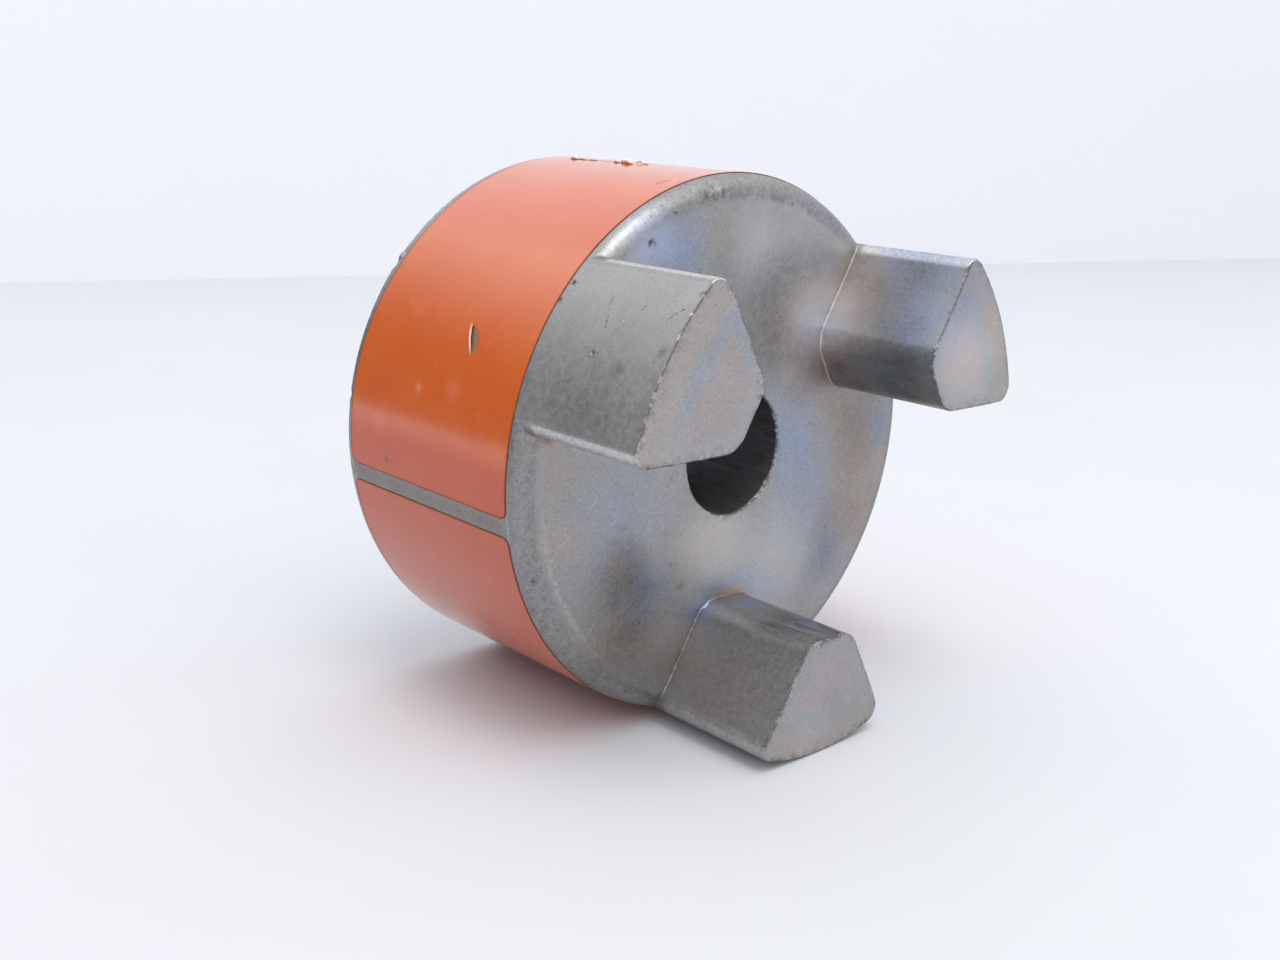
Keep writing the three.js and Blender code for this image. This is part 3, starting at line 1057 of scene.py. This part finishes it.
    seam = s.product(s.near(s.turn, SEAM_TURN, 3), s.span(s.y, FACE_Y + 3, FACE_Y + 5),
                     s.span(s.radius, OUTER_RADIUS - 0.6, OUTER_RADIUS - 0.2))
    colour = s.tint(colour, seam, SEAM_TINT)

    # The bore is darker, with drawn-out streaks and a little rust.
    inside = s.product(s.span(s.radius, BORE_RADIUS + 3.4, BORE_RADIUS + 0.12),
                       s.span(s.y, FACE_Y + 0.1, FACE_Y + 0.5))
    streaks = s.noise(0.6, 4.0, place=s.stretched(1, 14, 1))
    rust = s.span(s.noise(3.0, 5.0), 0.5, 0.75)
    bore = s.mix((*BORE_DARK, 1), s.span(streaks, 0.45, 0.7), BORE_STREAK)
    bore = s.mix(bore, s.product(rust, 0.7), BORE_RUST)
    colour = s.mix(colour, inside, bore)

    roughness = s.total([s.span(mottle, 0.3, 0.7, -0.04, 0.05), s.product(worn, -0.1),
                         s.product(polished, -0.05), s.product(jaw_outside, 0.08), 0.43])
    relief = s.total([s.product(grain, 0.7), s.product(mottle, 0.5),
                      s.product(pits, -1.5), s.product(fine_pits, -0.8),
                      s.product(coarse, -1.2),
                      s.product(streaks, inside, 1.5)])
    return s.finish(colour, roughness, 0.93, s.bump(relief, 0.02))


# ------------------------------ orange vinyl

VINYL_ORANGE = (0.60, 0.103, 0.010)
VINYL_WARM = (0.61, 0.114, 0.012)
VINYL_PALE = (0.72, 0.22, 0.12)
VINYL_LIP_PALE_AND_HIGHLIGHT = (0.75, 0.21, 0.11)
VINYL_EDGE_DIRT_AND_SHADE = (0.2, 0.07, 0.04)
VINYL_MARK = (0.16, 0.05, 0.03)
VINYL_SPECK = (0.35, 0.08, 0.03)
VINYL_DIRT = (0.28, 0.18, 0.11)
VINYL_DARK_DIRT = (0.22, 0.12, 0.08)
DIRT_GLINT = (0.8, 0.75, 0.7)
LOW_SHADE_TINT = (0.81, 0.64, 1.3)
SCRAPED_DARK = (0.58, 0.34, 0.25)
SCRAPED_PALE = (0.92, 0.78, 0.71)

PALE_SMEARS = on_outside([
    (166.5, 25.3, 1.3, 0.9),
    (165.0, 17.1, 2.6, 0.35),
    (176.0, 34.0, 3.0, 0.3),
    (151.0, 31.0, 2.4, 0.25),
])
DARK_MARKS = on_outside([
    (183.0, 32.1, 0.8, 1.0),
    (219.0, 30.5, 0.9, 1.0),
    (94.4, 35.0, 1.3, 0.8),
    (94.0, 32.0, 1.6, 0.7),
    (93.8, 24.0, 1.0, 0.8),
    (93.2, 21.5, 0.9, 0.8),
])
# A dark scratch near the front edge, as a pair of (angle, distance behind the face).
WRAP_SCRATCH = [degrees_point(107.3, OUTER_RADIUS, FACE_Y + 6.8),
                degrees_point(105.0, OUTER_RADIUS, FACE_Y + 6.0)]


def vinyl_material():
    s = Shader("orange_vinyl")
    clouds = s.noise(9.0, 3.0)
    colour = s.mix((*VINYL_ORANGE, 1), s.span(clouds, 0.35, 0.7), VINYL_WARM)
    scuffs = s.span(s.noise(2.4, 3.0), 0.55, 0.85)
    colour = s.mix(colour, s.product(scuffs, 0.2), VINYL_PALE)
    colour = s.mix(colour, s.spots(s.warped(1.5, 0.8), PALE_SMEARS), VINYL_PALE)
    colour = s.mix(colour, s.spots(s.warped(0.8, 0.3), DARK_MARKS), VINYL_MARK)
    scratch = s.scratch(s.warped(0.8, 0.2), *WRAP_SCRATCH, 0.3)
    colour = s.mix(colour, scratch, VINYL_MARK)
    # The lower part of the wrap is coloured darker by height: painted shade.
    low = s.product(s.span(s.z, 6.5, 0), s.span(s.z, -32, -18, 0.7, 1.0))
    colour = s.tint(colour, low, LOW_SHADE_TINT)
    specks = s.specks(3.0, 0.2, 0.3, seed=12.0)
    colour = s.mix(colour, s.product(specks, 0.4), VINYL_SPECK)
    # The raised lip is coloured paler: partly the torn film's edge, partly a painted highlight.
    lip = s.attribute("lip")
    colour = s.mix(colour, s.span(lip, 0.15, 0.6), VINYL_LIP_PALE_AND_HIGHLIGHT)
    flap = s.span(s.attribute("flap"), 0.06, 0.2)
    grime = s.mix((*VINYL_DIRT, 1), s.span(s.noise(0.7, 3.0), 0.4, 0.6), VINYL_DARK_DIRT)
    glint = s.specks(0.9, 0.2, 0.5, seed=3.0)
    grime = s.mix(grime, glint, DIRT_GLINT)
    colour = s.mix(colour, flap, grime)
    # The film's borders are darkened: partly dirt along the cut edges, partly painted shade.
    edge = s.span(s.attribute("edge_distance"), 0.3, 0.1)
    colour = s.mix(colour, s.product(edge, 0.8), VINYL_EDGE_DIRT_AND_SHADE)

    roughness = s.total([s.span(s.noise(3.0, 2.0), 0.4, 0.7, 0.0, 0.06), s.product(scuffs, 0.1),
                         s.product(flap, 0.4), 0.15])
    relief = s.total([s.product(s.noise(5.0, 2.0), 0.6),
                      s.product(s.noise(0.5, 3.0), 0.02)])
    gloss = s.product(s.span(s.math("MAXIMUM", edge, scratch), 0.0, 0.6, 1.0, 0.1),
                      s.span(low, 0, 1, 1.0, 0.55))
    return s.finish(colour, roughness, 0.0, s.bump(relief, 0.05),
                    **{"Specular IOR Level": gloss, "Coat Weight": s.product(gloss, 0.5),
                       "Coat Roughness": 0.2})


def scraped_vinyl_material():
    s = Shader("scraped_vinyl")
    shade = s.noise(0.5, 3.0)
    colour = s.mix((*SCRAPED_DARK, 1), s.span(shade, 0.34, 0.48), SCRAPED_PALE)
    return s.finish(colour, 0.45, 0.0, s.bump(s.noise(0.2, 3.0), 0.03))


# ------------------------------ black oxide steel

OXIDE_DARK = (0.035, 0.032, 0.03)
OXIDE_PALE = (0.09, 0.08, 0.07)
WORN_STEEL = (0.42, 0.41, 0.4)
RUST_COLOUR = (0.30, 0.13, 0.06)


def screw_material():
    s = Shader("black_oxide_steel")
    mottle = s.noise(0.6, 4.0)
    colour = s.mix((*OXIDE_DARK, 1), s.span(mottle, 0.4, 0.7), OXIDE_PALE)
    worn = s.span(s.add("ShaderNodeNewGeometry").outputs["Pointiness"], 0.52, 0.58)
    worn = s.product(worn, s.span(s.noise(0.4, 3.0), 0.35, 0.6, 0.3, 1.0))
    colour = s.mix(colour, worn, WORN_STEEL)
    rust = s.span(s.noise(1.3, 5.0), 0.6, 0.75)
    colour = s.mix(colour, s.product(rust, 0.5), RUST_COLOUR)
    roughness = s.span(mottle, 0.3, 0.7, 0.32, 0.5)
    return s.finish(colour, roughness, 0.85, s.bump(s.noise(0.15, 3.0), 0.01))


# ------------------------------ stage

FLOOR_HEIGHT = WRAP_LOW.z
FOLD_TURN = math.radians(-14.3)
FOLD_AWAY = 521
SHEET_LEFT = -480
WALL_LEFT = -190
SHEET_RIGHT = 1600
SHEET_FRONT = -1300
WALL_HEIGHT = 900
FLOOR_SHADE = (0.625, 0.635, 0.665)
WALL_SHADE = (0.83, 0.84, 0.875)
DARK_SIDE = (-0.62, 0.78, 0)
LIGHT_DIRECTION = Vector((-0.15, -0.28, 0.94))
LIGHT_DISTANCE = 1.6
LIGHT_SIZE = 0.71
LIGHT_POWER = 6.8


def paper_material(name, shade):
    s = Shader(name)
    clouds = s.noise(60.0, 3.0)
    colour = s.mix((*shade, 1), s.span(clouds, 0.3, 0.7, 0, 0.03), (1, 1, 1))
    return s.finish(colour, 0.9, 0.0, s.bump(s.noise(4.0, 3.0), 0.05))


def build_sheet(name, corners):
    turn = Matrix.Rotation(FOLD_TURN, 4, "Z")
    mesh = bpy.data.meshes.new(name)
    mesh.from_pydata([turn @ Vector(corner) * MM for corner in corners], [], [(0, 1, 2, 3)])
    sheet = link(mesh, name)
    return sheet


def build_stage():
    low, high, away = FLOOR_HEIGHT, WALL_HEIGHT, FOLD_AWAY
    floor = build_sheet("floor", [(SHEET_LEFT, SHEET_FRONT, low), (SHEET_RIGHT, SHEET_FRONT, low),
                                  (SHEET_RIGHT, away, low), (SHEET_LEFT, away, low)])
    wall = build_sheet("backdrop", [(WALL_LEFT, away, low), (SHEET_RIGHT, away, low),
                                    (SHEET_RIGHT, away, high), (WALL_LEFT, away, high)])
    floor.data.materials.append(paper_material("floor_paper", FLOOR_SHADE))
    wall.data.materials.append(paper_material("backdrop_paper", WALL_SHADE))


ROOM_LIGHT = (0.87, 0.875, 0.92)
ROOM_UP = (1.5, 1.5, 1.52)
ROOM_DARK = (0.14, 0.135, 0.135)
# Where the dark side and the brighter top begin and end, as shares of their directions.
DARK_TOWARDS = (0.35, 0.75)
DARK_BELOW = (0.25, 0.72)
BRIGHT_ABOVE = (0.35, 0.75)


def build_world():
    """An even pale room, darker low down on the side behind and to the left."""
    world = bpy.data.worlds.new("world")
    bpy.context.scene.world = world
    world.use_nodes = True
    nodes = Nodes(world.node_tree)
    direction = nodes.add("ShaderNodeTexCoord").outputs["Generated"]
    height = nodes.add("ShaderNodeSeparateXYZ", {0: direction}).outputs["Z"]
    seen = nodes.add("ShaderNodeLightPath").outputs["Is Camera Ray"]
    dark = nodes.product(nodes.span(nodes.measure("DOT_PRODUCT", direction, DARK_SIDE), *DARK_TOWARDS),
                         nodes.span(height, *DARK_BELOW, 1.0, 0.0))
    dark = nodes.math("SUBTRACT", dark, seen, clamp=True)
    above = nodes.math("SUBTRACT", nodes.span(height, *BRIGHT_ABOVE), seen, clamp=True)
    room = nodes.mix((*ROOM_LIGHT, 1), above, ROOM_UP)
    room = nodes.mix(room, dark, ROOM_DARK)
    background = nodes.add("ShaderNodeBackground", {"Color": room})
    nodes.add("ShaderNodeOutputWorld", {"Surface": background.outputs[0]})


def build_light():
    light = bpy.data.objects.new("soft_light", bpy.data.lights.new("soft_light", "AREA"))
    light.data.energy = LIGHT_POWER
    light.data.size = LIGHT_SIZE
    light.location = LIGHT_DIRECTION.normalized() * LIGHT_DISTANCE
    light.rotation_mode = "QUATERNION"
    light.rotation_quaternion = (-light.location).to_track_quat("-Z", "Y")
    bpy.context.scene.collection.objects.link(light)


# ------------------------------ camera

CAMERA_AIM = Vector((-6.3, 3.5, -6.8)) * MM
CAMERA_DISTANCE = 223.5 * MM
CAMERA_AZIMUTH = math.radians(-43.49)
CAMERA_ELEVATION = math.radians(15.17)
CAMERA_ROLL = math.radians(2.61)
CAMERA_LENS = 39.25


def build_camera():
    back = Vector((
        math.sin(CAMERA_AZIMUTH) * math.cos(CAMERA_ELEVATION),
        -math.cos(CAMERA_AZIMUTH) * math.cos(CAMERA_ELEVATION),
        math.sin(CAMERA_ELEVATION),
    ))
    camera = bpy.data.objects.new("camera", bpy.data.cameras.new("camera"))
    bpy.context.scene.collection.objects.link(camera)
    camera.data.lens = CAMERA_LENS
    camera.data.clip_start = 1 * MM
    camera.rotation_mode = "QUATERNION"
    camera.location = CAMERA_AIM + back * CAMERA_DISTANCE
    roll = Quaternion((0, 0, 1), CAMERA_ROLL)
    camera.rotation_quaternion = (-back).to_track_quat("-Z", "Y") @ roll
    bpy.context.scene.camera = camera


# ------------------------------ the scene

def place(piece, body, slot, material, *stands_for):
    piece.data.materials.clear()
    piece.data.materials.append(material)
    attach(piece, body)
    if stands_for:
        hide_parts(*stands_for)


place(build_hub(), "hub", "sintered_iron", iron_material(), "hub")
place(build_wrap(), "hub", "orange_vinyl", vinyl_material(), "label_wrap")
place(build_curls(), "hub", "orange_vinyl", scraped_vinyl_material())
place(build_set_screw(), "set_screw", "black_oxide_steel", screw_material(), "set_screw")

build_stage()
build_world()
build_light()
build_camera()
bpy.context.scene.view_settings.view_transform = "Standard"
